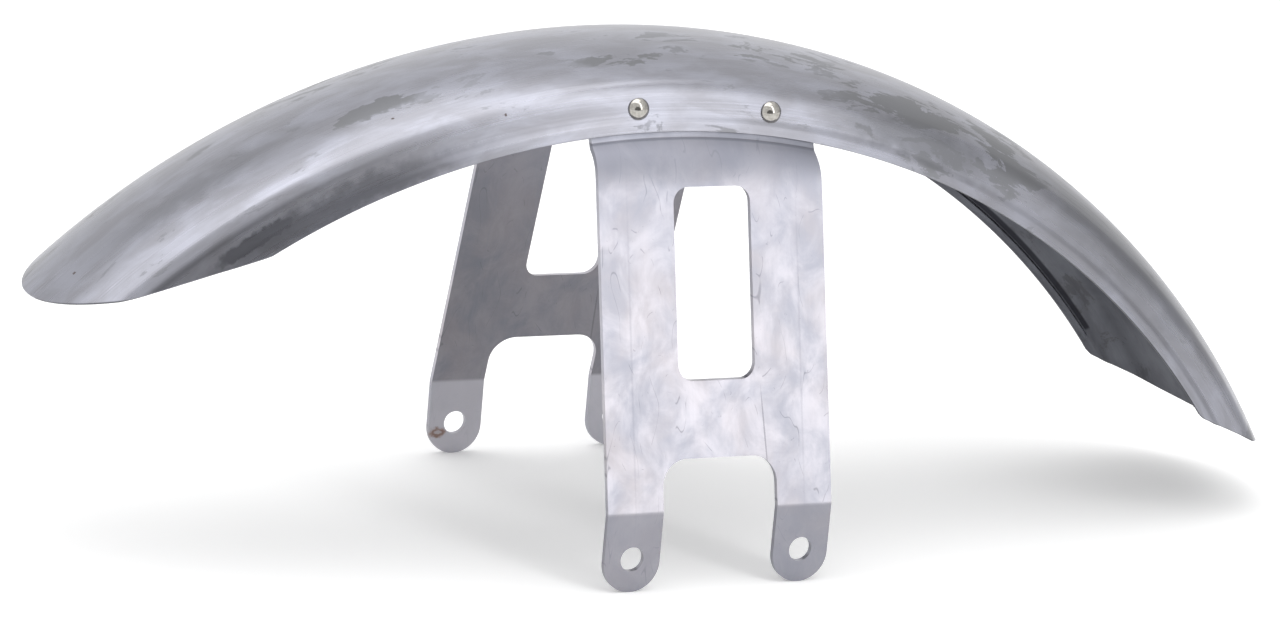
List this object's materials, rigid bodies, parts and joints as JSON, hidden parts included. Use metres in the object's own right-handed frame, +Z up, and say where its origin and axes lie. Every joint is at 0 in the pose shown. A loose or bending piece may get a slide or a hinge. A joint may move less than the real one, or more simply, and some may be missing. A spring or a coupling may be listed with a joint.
{
  "type": "motorcycle front mudguard",
  "caption": "Front mudguard of a motorcycle: a rolled steel blade over the wheel, with a riveted pressed bracket on each side that bolts to the fork leg.",
  "frame": {"origin": "on the surface under the four feet, midway between the blade's front and rear tips, in the wheel's middle plane", "axes": "+X to the rear of the machine along the blade, +Y to its right side, +Z up"},
  "size_m": [0.5725, 0.1906, 0.2114],
  "materials": {
    "blade": "bare mill steel with worn film and faint scratches",
    "bracket": "bare pressed steel, brighter than the blade, with light rust at the feet",
    "rivet": "bright domed steel"
  },
  "bodies": {
    "root": {"blade": "blade", "bracket_left": "bracket", "bracket_right": "bracket", "rivet_left_front": "rivet", "rivet_left_rear": "rivet", "rivet_right_front": "rivet", "rivet_right_rear": "rivet"}
  },
  "joints": []
}
